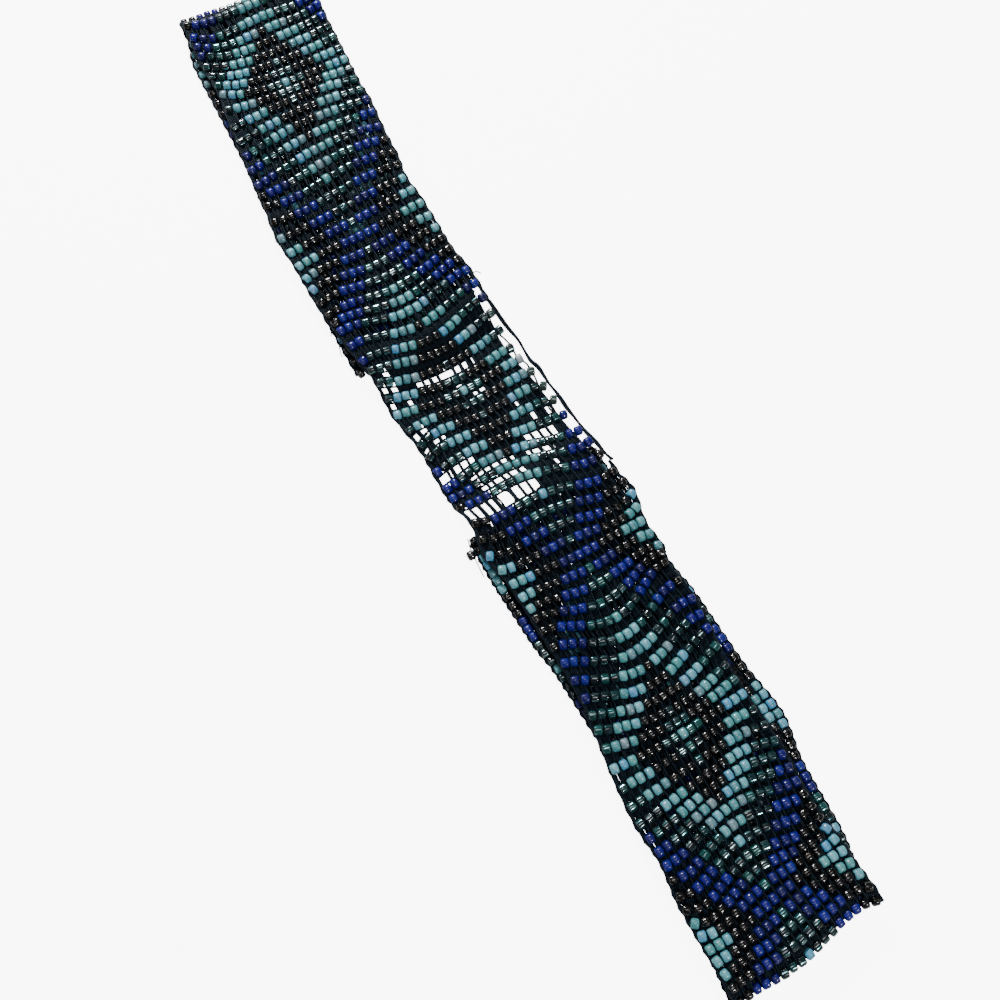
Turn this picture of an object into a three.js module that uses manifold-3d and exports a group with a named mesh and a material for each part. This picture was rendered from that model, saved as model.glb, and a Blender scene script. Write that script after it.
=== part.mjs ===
// Beaded belt: a band of seed beads woven on a loom, folded double and lying flat.
// Millimetres, +Z up. X runs along the folded belt, Y across it, and the band rests on z = 0.
import * as THREE from 'three'
import { mergeVertices } from 'three/addons/utils/BufferGeometryUtils.js'
import Module from 'manifold-3d'

// Driving dimensions of the beads and threads
const BEAD_DIAMETER = 3.9
const BEAD_LENGTH = 3.0
const WARP_GAP = 0.3
const WEB_THICKNESS = 1.0
const CREST_WIDTH = 1.8
const SELVEDGE_SCALLOP = 0.3
const SLIT_OVERCUT = 1.0

// Driving dimensions of the band
const COLUMNS = 17
const TOP_PITCH = 5.96
const UPPER_UNDER_PITCH = 5.17
const LOWER_UNDER_PITCH = 3.79

// Driving dimensions of the fold and of the way the layers lie
const LAYER_GAP = 0.35
const FOLD_RADIUS = 3.4
const BULGE_LENGTH = 24
const DROP_LENGTH = 15
const DROP_START = 1.2

// Row numbers along the whole band: the two cut ends and the rows where each fold begins and ends
const FIRST_ROW = -41
const UPPER_FOLD_ROW = -7.2
const LOWER_FOLD_ROW = 63.4
const LAST_ROW = 112
const MIDDLE_ROW = 28

// Gap, hole and size of the loose bead at the lower cut end
const STOP_BEAD_ROW = 111
const STOP_BEAD_GAP = 0.35
const STOP_BEAD_HOLE = 1.2
const STOP_BEAD_SIDES = 14

// Sizes worked out from the driving dimensions
const radius = BEAD_DIAMETER / 2
const columnPitch = BEAD_LENGTH + WARP_GAP
const halfBand = (COLUMNS * columnPitch) / 2
const edgeColumn = (COLUMNS - 1) / 2
const foldCentreHeight = FOLD_RADIUS + radius
const upperLayerHeight = 3 * radius + LAYER_GAP
const foldTopHeight = foldCentreHeight + FOLD_RADIUS
const turnRows = (Math.PI * FOLD_RADIUS) / TOP_PITCH
const upperTurnEnd = UPPER_FOLD_ROW - turnRows
const lowerTurnEnd = LOWER_FOLD_ROW + turnRows

// How the rows of the top layer lie. Slip is in row pitches ahead of even spacing, and drift is the sideways
// place of the middle bead. Far, midFar, midNear and near are the leans: how far ahead of the middle bead the
// row lies at its far end, half way there, half way to its near end and at its near end. All but slip are in
// column pitches.
const TOP_STATIONS = [
  { row: -10, slip: 0.0, drift: 0.25, far: 0.0, midFar: 0.0, midNear: -0.25, near: -0.75 },
  { row: -8, slip: 0.0, drift: 0.25, far: 0.0, midFar: 0.0, midNear: -0.25, near: -0.75 },
  { row: -6, slip: 0.3, drift: 0.25, far: 0.0, midFar: 0.25, midNear: 0.25, near: -1.0 },
  { row: -4, slip: 0.2, drift: 0.0, far: -0.25, midFar: 0.0, midNear: -0.25, near: -1.75 },
  { row: 0, slip: -0.2, drift: -0.5, far: 0.5, midFar: 0.25, midNear: -0.5, near: -2.0 },
  { row: 2, slip: -0.7, drift: -0.75, far: 1.0, midFar: 0.25, midNear: 0.0, near: 0.25 },
  { row: 4, slip: -0.7, drift: -1.0, far: 0.75, midFar: 0.25, midNear: 0.25, near: 1.0 },
  { row: 6, slip: -0.4, drift: -1.75, far: 0.75, midFar: 0.0, midNear: 0.5, near: 1.25 },
  { row: 8, slip: 0.0, drift: -2.25, far: 0.5, midFar: -0.25, midNear: 0.5, near: 0.0 },
  { row: 10, slip: 0.5, drift: -2.25, far: -0.25, midFar: -0.25, midNear: 0.25, near: 0.25 },
  { row: 12, slip: 0.9, drift: -2.25, far: -0.5, midFar: -0.25, midNear: 0.0, near: 0.25 },
  { row: 14, slip: 1.3, drift: -2.25, far: -1.0, midFar: -0.5, midNear: -0.5, near: -0.5 },
  { row: 16, slip: 1.4, drift: -2.0, far: -1.5, midFar: -0.5, midNear: -0.5, near: -0.5 },
  { row: 18, slip: 1.3, drift: -1.75, far: -1.5, midFar: -0.75, midNear: -0.75, near: -1.5 },
  { row: 20, slip: 1.7, drift: -1.5, far: -1.75, midFar: -0.75, midNear: -0.75, near: -1.25 },
  { row: 22, slip: 1.5, drift: -1.0, far: -1.0, midFar: -0.25, midNear: -0.25, near: -1.25 },
  { row: 23, slip: 1.7, drift: -1.0, far: -0.5, midFar: -0.25, midNear: -0.5, near: -1.5 },
  { row: 24, slip: 1.6, drift: -0.75, far: -0.5, midFar: -0.25, midNear: -0.25, near: -1.0 },
  { row: 26, slip: 1.6, drift: -0.25, far: 0.25, midFar: -0.25, midNear: -0.5, near: 0.0 },
  { row: 28, slip: 1.5, drift: 0.0, far: 1.0, midFar: 0.5, midNear: -0.25, near: 0.25 },
  { row: 29, slip: 1.5, drift: 0.0, far: 2.0, midFar: 1.0, midNear: 0.0, near: 0.75 },
  { row: 31, slip: 1.7, drift: 0.5, far: 1.75, midFar: 1.25, midNear: -0.25, near: -0.5 },
  { row: 32, slip: 2.2, drift: 0.75, far: 1.5, midFar: 1.0, midNear: 0.0, near: -0.5 },
  { row: 34, slip: 2.4, drift: 0.75, far: 0.75, midFar: 1.0, midNear: 0.0, near: -0.5 },
  { row: 36, slip: 2.6, drift: 0.75, far: 0.0, midFar: 0.0, midNear: -0.25, near: -0.5 },
  { row: 38, slip: 2.7, drift: 1.25, far: -0.5, midFar: -0.5, midNear: -0.5, near: -1.0 },
  { row: 40, slip: 3.0, drift: 0.75, far: -2.75, midFar: -1.25, midNear: -1.0, near: -2.5 },
  { row: 42, slip: 3.3, drift: 1.0, far: -2.0, midFar: -1.25, midNear: -0.75, near: -2.5 },
  { row: 44, slip: 3.4, drift: 1.0, far: -2.25, midFar: -1.0, midNear: -0.5, near: -2.0 },
  { row: 46, slip: 3.2, drift: 0.5, far: -1.25, midFar: -0.25, midNear: -0.5, near: -1.75 },
  { row: 48, slip: 2.7, drift: 0.5, far: -0.5, midFar: -0.25, midNear: 0.0, near: -0.25 },
  { row: 51, slip: 2.3, drift: 0.5, far: 0.5, midFar: -0.25, midNear: 0.5, near: 1.0 },
  { row: 54, slip: 1.5, drift: 0.25, far: 1.0, midFar: 0.25, midNear: 1.0, near: 1.75 },
  { row: 57, slip: 1.2, drift: -0.25, far: 0.25, midFar: 0.5, midNear: 1.25, near: 1.5 },
  { row: 60, slip: 0.8, drift: -0.25, far: -0.5, midFar: -0.5, midNear: 0.75, near: 1.0 },
  { row: 64, slip: 0.2, drift: 0.0, far: -1.0, midFar: -1.0, midNear: 0.25, near: 0.5 },
  { row: 66, slip: 0.2, drift: 0.0, far: -1.0, midFar: -0.5, midNear: 0.25, near: 0.5 },
]

// How far out from the middle bead the far and near edge beads of a row are, in column pitches
const REACH_STATIONS = [
  { row: -10, far: 7.75, near: 8.0 },
  { row: -8, far: 7.75, near: 8.0 },
  { row: -6, far: 7.75, near: 8.0 },
  { row: -4, far: 7.75, near: 8.0 },
  { row: 0, far: 7.75, near: 7.5 },
  { row: 2, far: 7.75, near: 8.0 },
  { row: 4, far: 8.0, near: 8.25 },
  { row: 6, far: 8.25, near: 8.0 },
  { row: 8, far: 8.5, near: 7.75 },
  { row: 10, far: 8.0, near: 8.25 },
  { row: 12, far: 8.25, near: 8.0 },
  { row: 14, far: 8.25, near: 8.0 },
  { row: 16, far: 8.0, near: 8.0 },
  { row: 18, far: 8.25, near: 8.0 },
  { row: 20, far: 8.0, near: 7.75 },
  { row: 22, far: 7.5, near: 7.75 },
  { row: 23, far: 7.5, near: 7.75 },
  { row: 24, far: 7.5, near: 8.0 },
  { row: 26, far: 7.75, near: 7.75 },
  { row: 28, far: 7.75, near: 8.0 },
  { row: 29, far: 8.0, near: 8.0 },
  { row: 31, far: 8.0, near: 8.25 },
  { row: 32, far: 8.0, near: 8.0 },
  { row: 34, far: 8.5, near: 8.5 },
  { row: 36, far: 7.75, near: 7.75 },
  { row: 38, far: 7.5, near: 8.0 },
  { row: 40, far: 7.5, near: 7.5 },
  { row: 42, far: 7.75, near: 7.5 },
  { row: 44, far: 7.5, near: 7.5 },
  { row: 46, far: 7.5, near: 7.5 },
  { row: 48, far: 7.5, near: 8.0 },
  { row: 51, far: 7.75, near: 8.5 },
  { row: 54, far: 7.75, near: 8.0 },
  { row: 57, far: 8.25, near: 8.0 },
  { row: 60, far: 8.5, near: 8.0 },
  { row: 64, far: 8.5, near: 8.25 },
  { row: 66, far: 8.25, near: 8.25 },
]

// How the rows of the two tucked-under stretches lie, in column pitches
const UNDER_STATIONS = [
  { row: -41, drift: -2.0, far: -1.5, near: 1.25 },
  { row: -32, drift: -2.0, far: -0.75, near: 0.75 },
  { row: -26, drift: -1.75, far: 0.0, near: 0.0 },
  { row: -22, drift: -1.25, far: 0.0, near: -0.25 },
  { row: -17, drift: -1.0, far: 0.0, near: -0.5 },
  { row: -12, drift: -0.75, far: 0.0, near: -0.75 },
  { row: -9, drift: 0.25, far: 0.0, near: -0.75 },
  { row: 65, drift: 0.0, far: -1.0, near: 0.5 },
  { row: 72, drift: 1.0, far: 0.0, near: 0.5 },
  { row: 78, drift: 1.25, far: 0.0, near: 0.25 },
  { row: 83, drift: 2.25, far: 0.0, near: 0.0 },
  { row: 88, drift: 1.5, far: -0.25, near: -0.25 },
  { row: 92, drift: 1.25, far: -0.5, near: -0.5 },
  { row: 96, drift: 1.0, far: -0.75, near: -0.25 },
  { row: 99, drift: 0.5, far: -0.75, near: 0.0 },
  { row: 103, drift: 0.25, far: -1.0, near: 0.5 },
  { row: 108, drift: 0.0, far: -1.25, near: 1.0 },
  { row: 112, drift: 0.0, far: -1.5, near: 1.5 },
]

// Open slits between rows of the single layer: the row before the slit and the columns that it spans,
// counted from the middle column, minus towards the far edge
const SLITS = [
  { row: 5, from: 7.6, to: 8.3 },
  { row: 9, from: 7.6, to: 8.3 },
  { row: 21, from: 6.6, to: 7.4 },
  { row: 22, from: -3.4, to: -3.05 },
  { row: 22, from: -2.4, to: -1.75 },
  { row: 22, from: -1.4, to: -0.6 },
  { row: 22, from: -0.4, to: 1.5 },
  { row: 22, from: 1.7, to: 2.35 },
  { row: 22, from: 2.7, to: 3.35 },
  { row: 22, from: 3.55, to: 4.3 },
  { row: 22, from: 6.6, to: 7.4 },
  { row: 22, from: 7.6, to: 8.3 },
  { row: 23, from: -0.4, to: 0.35 },
  { row: 23, from: 5.65, to: 6.1 },
  { row: 23, from: 7.6, to: 8.3 },
  { row: 24, from: -2.3, to: -1.7 },
  { row: 24, from: -1.3, to: -0.75 },
  { row: 25, from: 6.5, to: 7.35 },
  { row: 25, from: 7.6, to: 8.3 },
  { row: 26, from: -4.3, to: -3.9 },
  { row: 26, from: 5.2, to: 5.8 },
  { row: 26, from: 6.1, to: 6.9 },
  { row: 26, from: 7.7, to: 8.3 },
  { row: 27, from: -7.2, to: -6.6 },
  { row: 27, from: -5.35, to: -4.75 },
  { row: 28, from: -6.15, to: -5.6 },
  { row: 28, from: -5.35, to: -4.65 },
  { row: 28, from: -4.35, to: -3.65 },
  { row: 28, from: -3.4, to: -2.65 },
  { row: 28, from: 3.7, to: 4.3 },
  { row: 28, from: 4.6, to: 5.35 },
  { row: 28, from: 5.6, to: 6.4 },
  { row: 28, from: 6.65, to: 7.0 },
  { row: 28, from: 7.2, to: 8.3 },
  { row: 29, from: -4.15, to: -3.65 },
  { row: 29, from: -3.05, to: -2.4 },
  { row: 29, from: -2.2, to: -1.85 },
  { row: 29, from: -0.3, to: 0.05 },
  { row: 29, from: 0.65, to: 1.1 },
  { row: 29, from: 1.65, to: 2.3 },
  { row: 29, from: 2.7, to: 3.35 },
  { row: 29, from: 3.6, to: 4.25 },
  { row: 29, from: 4.45, to: 5.1 },
  { row: 30, from: -3.9, to: -3.5 },
  { row: 30, from: -0.2, to: 0.25 },
  { row: 30, from: 0.55, to: 1.25 },
  { row: 30, from: 1.6, to: 2.25 },
  { row: 30, from: 2.4, to: 3.25 },
  { row: 30, from: 3.55, to: 4.1 },
  { row: 30, from: 4.25, to: 4.85 },
  { row: 31, from: -0.3, to: 0.6 },
  { row: 31, from: 0.8, to: 1.6 },
  { row: 31, from: 1.8, to: 2.65 },
  { row: 31, from: 2.95, to: 4.2 },
  { row: 31, from: 4.35, to: 4.6 },
  { row: 31, from: 4.8, to: 5.5 },
  { row: 31, from: 5.65, to: 6.5 },
  { row: 31, from: 6.7, to: 7.55 },
  { row: 31, from: 7.7, to: 8.3 },
]

// The stretch where the far edge has lost its thread, so the bead ends stand clear of each other
const FRAYED = { from: 20.5, to: 31.5, depth: 1.1 }

// Smooth step from 0 to 1 as the value goes from 0 to 1
function ease(value) {
  const t = Math.min(Math.max(value, 0), 1)
  return t * t * (3 - 2 * t)
}

// Value of one named column of a table at a row, smooth and without overshoot
function follow(table, column, row) {
  const last = table.length - 1
  if (row <= table[0].row) return table[0][column]
  if (row >= table[last].row) return table[last][column]
  const i = table.findIndex((station) => station.row > row) - 1
  const slope = (k) => (table[k + 1][column] - table[k][column]) / (table[k + 1].row - table[k].row)
  const tangent = (k) => {
    if (k === 0 || k === last) return 0
    const before = slope(k - 1)
    const after = slope(k)
    return before * after <= 0 ? 0 : (2 * before * after) / (before + after)
  }
  const span = table[i + 1].row - table[i].row
  const t = (row - table[i].row) / span
  const start = table[i][column] * (1 + 2 * t) * (1 - t) ** 2 + tangent(i) * span * t * (1 - t) ** 2
  const end = table[i + 1][column] * t * t * (3 - 2 * t) - tangent(i + 1) * span * t * t * (1 - t)
  return start + end
}

// Place of a row of the top layer along the belt
function topAlong(row) {
  return TOP_PITCH * (row - MIDDLE_ROW + follow(TOP_STATIONS, 'slip', row))
}

const upperFoldCentre = topAlong(UPPER_FOLD_ROW)
const lowerFoldCentre = topAlong(LOWER_FOLD_ROW)
const upperCutEnd = upperFoldCentre + UPPER_UNDER_PITCH * (upperTurnEnd - FIRST_ROW) + radius
const lowerCutEnd = lowerFoldCentre - LOWER_UNDER_PITCH * (LAST_ROW - lowerTurnEnd) - radius

// Lean of a cut end across the belt, in millimetres forward per millimetre towards the far edge
function cutLean(row) {
  const lean = follow(UNDER_STATIONS, 'far', row) - follow(UNDER_STATIONS, 'near', row)
  return lean / (2 * edgeColumn)
}

// Height of the middle of the top layer: on the under layer, or down on the table between the cut ends
function topHeight(x, y) {
  const pastUpper = x - (upperCutEnd + cutLean(FIRST_ROW) * y) - DROP_START
  const pastLower = lowerCutEnd + cutLean(LAST_ROW) * y - DROP_START - x
  const lifted = Math.max(1 - ease(pastUpper / DROP_LENGTH), 1 - ease(pastLower / DROP_LENGTH))
  const fromFold = Math.min(x - upperFoldCentre, lowerFoldCentre - x)
  const bulge = (foldTopHeight - upperLayerHeight) * (1 - ease(fromFold / BULGE_LENGTH))
  return radius + (upperLayerHeight - radius) * lifted + bulge
}

// How far ahead of its middle bead a row lies, at a place from -1 at the near edge bead to 1 at the far one:
// the fourth-power curve through its four leans. A tucked-under row has two, and a square-law bow.
function rowLean(row, place, tucked) {
  const table = tucked ? UNDER_STATIONS : TOP_STATIONS
  const far = follow(table, 'far', row)
  const near = follow(table, 'near', row)
  const midFar = tucked ? (3 * far - near) / 8 : follow(table, 'midFar', row)
  const midNear = tucked ? (3 * near - far) / 8 : follow(table, 'midNear', row)
  const fourth = (2 * (far + near) - 8 * (midFar + midNear)) / 3
  const second = (far + near) / 2 - fourth
  const first = (8 * (midFar - midNear) - (far - near)) / 6
  const third = (far - near) / 2 - first
  return place * (first + place * (second + place * (third + place * fourth)))
}

// Point on the middle surface of the band at a row and a column, with the outward direction there.
// Rows below the upper fold and above the lower one are tucked under and face down.
function onBand(row, column) {
  const far = column < 0
  const under = row < UPPER_FOLD_ROW || row > LOWER_FOLD_ROW
  const tucked = row < upperTurnEnd || row > lowerTurnEnd
  const outward = Math.abs(column) / edgeColumn
  const lean = rowLean(row, -column / edgeColumn, tucked) * columnPitch
  const reach = follow(REACH_STATIONS, far ? 'far' : 'near', row) * outward * columnPitch
  const drift = follow(tucked ? UNDER_STATIONS : TOP_STATIONS, 'drift', row) * columnPitch
  const y = drift + (far ? reach : -reach)
  if (!under) {
    const x = topAlong(row) + lean
    const z = topHeight(x, y)
    const slope = topHeight(x + 0.5, y) - topHeight(x - 0.5, y)
    return { point: new THREE.Vector3(x, y, z), normal: new THREE.Vector3(-slope, 0, 1).normalize() }
  }
  const upper = row < UPPER_FOLD_ROW
  const side = upper ? -1 : 1
  const centre = upper ? upperFoldCentre : lowerFoldCentre
  const turned = upper ? UPPER_FOLD_ROW - row : row - LOWER_FOLD_ROW
  if (turned < turnRows) {
    const angle = (turned / turnRows) * Math.PI
    const x = centre + lean + side * FOLD_RADIUS * Math.sin(angle)
    const z = foldCentreHeight + FOLD_RADIUS * Math.cos(angle)
    const normal = new THREE.Vector3(side * Math.sin(angle), 0, Math.cos(angle))
    return { point: new THREE.Vector3(x, y, z), normal }
  }
  const pitch = upper ? UPPER_UNDER_PITCH : LOWER_UNDER_PITCH
  const x = centre + lean - side * (turned - turnRows) * pitch
  return { point: new THREE.Vector3(x, y, radius), normal: new THREE.Vector3(0, 0, -1) }
}

// Local row pitch, to turn lengths along the band into shares of a row
function pitchAt(row) {
  if (row < upperTurnEnd) return UPPER_UNDER_PITCH
  if (row > lowerTurnEnd) return LOWER_UNDER_PITCH
  if (row < UPPER_FOLD_ROW || row > LOWER_FOLD_ROW) return TOP_PITCH
  return topAlong(row + 0.5) - topAlong(row - 0.5)
}

// One section of the band: the points around it at a row, with its half thickness and its two half widths
function section(row, halfThickness, farColumns, nearColumns) {
  const columns = [-farColumns, -farColumns / 3, nearColumns / 3, nearColumns]
  const stops = columns.map((column) => onBand(row, column))
  const outer = stops.map((stop) => stop.point.clone().addScaledVector(stop.normal, halfThickness))
  const inner = stops.map((stop) => stop.point.clone().addScaledVector(stop.normal, -halfThickness))
  return [...outer, ...inner.reverse()]
}

// Section of the thin web of thread beside a row, cut back at the far edge where that edge is frayed
function webSection(row) {
  const near = (halfBand - SELVEDGE_SCALLOP) / columnPitch
  const frayed = row > FRAYED.from && row < FRAYED.to
  return section(row, WEB_THICKNESS / 2, near - (frayed ? FRAYED.depth : 0), near)
}

// Sections of the whole band: each row of beads is a rib with a flat crest, and thin webs join the ribs.
// Where the rows are packed close, under the top layer, one section stands for the web between two ribs.
function bandSections() {
  const sections = []
  const beadColumns = halfBand / columnPitch
  for (let row = FIRST_ROW; row <= LAST_ROW; row += 1) {
    const pitch = pitchAt(row)
    const foot = radius / pitch
    const crest = CREST_WIDTH / 2 / pitch
    const packed = row < upperTurnEnd - 1 || row > lowerTurnEnd + 1
    const atEnd = row === LAST_ROW
    if (!packed || row === FIRST_ROW) sections.push(webSection(row - foot))
    sections.push(section(row - crest, radius, beadColumns, beadColumns))
    sections.push(section(row + crest, radius, beadColumns, beadColumns))
    if (!packed || atEnd) sections.push(webSection(row + foot))
    else sections.push(webSection(row + 0.5))
  }
  return sections
}

// Closed body through a list of sections that have the same number of points
function loft(sections) {
  const count = sections[0].length
  const points = sections.flat()
  const index = []
  for (let i = 0; i + 1 < sections.length; i += 1) {
    for (let k = 0; k < count; k += 1) {
      const a = i * count + k
      const b = i * count + ((k + 1) % count)
      index.push(a, b, a + count)
      index.push(b, b + count, a + count)
    }
  }
  const end = (sections.length - 1) * count
  for (let k = 1; k + 1 < count; k += 1) {
    index.push(0, k + 1, k)
    index.push(end, end + k, end + k + 1)
  }
  return { points, index }
}

// Prism through the web between two rows, from foot to foot of their ribs and out past both faces of the web
function slitPrism(slit) {
  const before = slit.row + radius / pitchAt(slit.row)
  const after = slit.row + 1 - radius / pitchAt(slit.row + 1)
  const corners = [
    onBand(before, slit.from),
    onBand(after, slit.from),
    onBand(after, slit.to),
    onBand(before, slit.to),
  ]
  const reach = WEB_THICKNESS / 2 + SLIT_OVERCUT
  const lower = corners.map((corner) => corner.point.clone().addScaledVector(corner.normal, -reach))
  const upper = corners.map((corner) => corner.point.clone().addScaledVector(corner.normal, reach))
  return loft([upper, lower])
}

const wasm = await Module()
wasm.setup()

// Turns points and triangle corners into a solid for joining and cutting
function toSolid(body) {
  const vertProperties = new Float32Array(body.points.flatMap((point) => [point.x, point.y, point.z]))
  const triVerts = new Uint32Array(body.index)
  const solid = new wasm.Manifold(new wasm.Mesh({ numProp: 3, vertProperties, triVerts }))
  if (solid.volume() < 0) throw new Error('a body is inside out')
  return solid
}

// Turns a solid into a mesh geometry
function toGeometry(solid) {
  const mesh = solid.getMesh()
  const geometry = new THREE.BufferGeometry()
  geometry.setAttribute('position', new THREE.BufferAttribute(new Float32Array(mesh.vertProperties), 3))
  geometry.setIndex(new THREE.BufferAttribute(new Uint32Array(mesh.triVerts), 1))
  return geometry
}

// The woven band, with the open slits of its single layer cut through
function wovenBand() {
  let solid = toSolid(loft(bandSections()))
  for (const slit of SLITS) {
    solid = solid.subtract(toSolid(slitPrism(slit)))
  }
  return toGeometry(solid)
}

// The loose bead beside the lower cut end: a short rounded tube that lies with its hole across the belt
function stopBead() {
  const half = BEAD_LENGTH / 2
  const bore = STOP_BEAD_HOLE / 2
  const edge = 0.7
  const profile = [
    new THREE.Vector2(bore, -half),
    new THREE.Vector2(radius - edge, -half),
    new THREE.Vector2(radius, -half + edge),
    new THREE.Vector2(radius, half - edge),
    new THREE.Vector2(radius - edge, half),
    new THREE.Vector2(bore, half),
    new THREE.Vector2(bore, -half),
  ]
  const lathe = new THREE.LatheGeometry(profile, STOP_BEAD_SIDES)
  lathe.deleteAttribute('normal')
  lathe.deleteAttribute('uv')
  const geometry = mergeVertices(lathe, 1e-4)
  const seat = onBand(STOP_BEAD_ROW, halfBand / columnPitch)
  const y = seat.point.y - STOP_BEAD_GAP - half
  geometry.translate(seat.point.x, y, radius)
  return geometry
}

// Adds one named piece with its own material
function addPiece(group, name, geometry, colour) {
  geometry.computeVertexNormals()
  const material = new THREE.MeshStandardMaterial({ color: colour, roughness: 0.35, metalness: 0.0 })
  material.name = name
  const mesh = new THREE.Mesh(geometry, material)
  mesh.name = name
  group.add(mesh)
}

// Moves all pieces together so that the origin is the middle of the bottom of the whole belt's box
function centreOnOrigin(group) {
  const middle = new THREE.Box3().setFromObject(group).getCenter(new THREE.Vector3())
  for (const piece of group.children) piece.geometry.translate(-middle.x, -middle.y, 0)
}

const belt = new THREE.Group()
belt.name = 'beaded_belt'
addPiece(belt, 'woven_band', wovenBand(), 0x2f6f78)
addPiece(belt, 'stop_bead', stopBead(), 0x2a2230)
centreOnOrigin(belt)

export default belt
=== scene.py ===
import bpy
import numpy as np
from mathutils import Matrix, Vector


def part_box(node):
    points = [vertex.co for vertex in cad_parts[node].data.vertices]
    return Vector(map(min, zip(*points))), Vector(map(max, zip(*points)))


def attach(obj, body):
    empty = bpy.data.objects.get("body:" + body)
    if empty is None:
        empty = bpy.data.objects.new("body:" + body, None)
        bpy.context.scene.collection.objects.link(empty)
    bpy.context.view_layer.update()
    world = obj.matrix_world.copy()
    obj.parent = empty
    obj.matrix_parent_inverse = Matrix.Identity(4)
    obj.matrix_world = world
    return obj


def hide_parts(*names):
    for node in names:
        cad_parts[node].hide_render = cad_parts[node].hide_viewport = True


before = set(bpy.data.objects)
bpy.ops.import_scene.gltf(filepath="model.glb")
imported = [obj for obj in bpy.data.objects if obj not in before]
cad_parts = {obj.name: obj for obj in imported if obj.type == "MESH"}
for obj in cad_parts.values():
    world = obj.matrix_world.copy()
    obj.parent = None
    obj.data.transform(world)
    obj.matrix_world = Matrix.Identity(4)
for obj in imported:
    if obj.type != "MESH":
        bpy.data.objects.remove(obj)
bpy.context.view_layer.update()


# The view
# A camera above the belt, turned so that the belt runs from the upper left to the lower right.
CAMERA_PLACE = Vector((0.1657, -0.0868, 0.450))
CAMERA_AIM = Vector((0.0300, -0.0120, 0.005))
CAMERA_RIGHT = Vector((0.483, 0.8756, 0.0))
CAMERA_LENS = 46.8

backward = (CAMERA_PLACE - CAMERA_AIM).normalized()
upward = backward.cross(CAMERA_RIGHT).normalized()
rightward = upward.cross(backward)
camera_data = bpy.data.cameras.new("camera")
camera_data.lens = CAMERA_LENS
camera_data.sensor_width = 36.0
camera_data.clip_start = 0.01
camera = bpy.data.objects.new("camera", camera_data)
camera_turn = Matrix((rightward, upward, backward)).transposed().to_4x4()
camera.matrix_world = Matrix.Translation(CAMERA_PLACE) @ camera_turn
bpy.context.scene.collection.objects.link(camera)
bpy.context.scene.camera = camera


# Seed beads
# Short tubes of glass, drawn, cut and tumbled round, 17 to a row. A thread runs through each row and the
# rows hang on 18 warp threads. The ends of the band are folded under, and the diamonds follow a bead chart.
BEAD_DIAMETER = 3.9
BEAD_LENGTH = 3.0
COLUMN_PITCH = 3.3
COLUMNS = 17
EDGE_COLUMN = 8
FIRST_ROW = -41
LAST_ROW = 112
MIDDLE_ROW = 28
TOP_PITCH = 5.96
UPPER_UNDER_PITCH = 5.17
LOWER_UNDER_PITCH = 3.79
LAYER_GAP = 0.35
FOLD_RADIUS = 3.4
BULGE_LENGTH = 24.0
DROP_LENGTH = 15.0
DROP_START = 1.2
UPPER_FOLD_ROW = -7.2
LOWER_FOLD_ROW = 63.4
BEAD_RADIUS = BEAD_DIAMETER / 2

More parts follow.
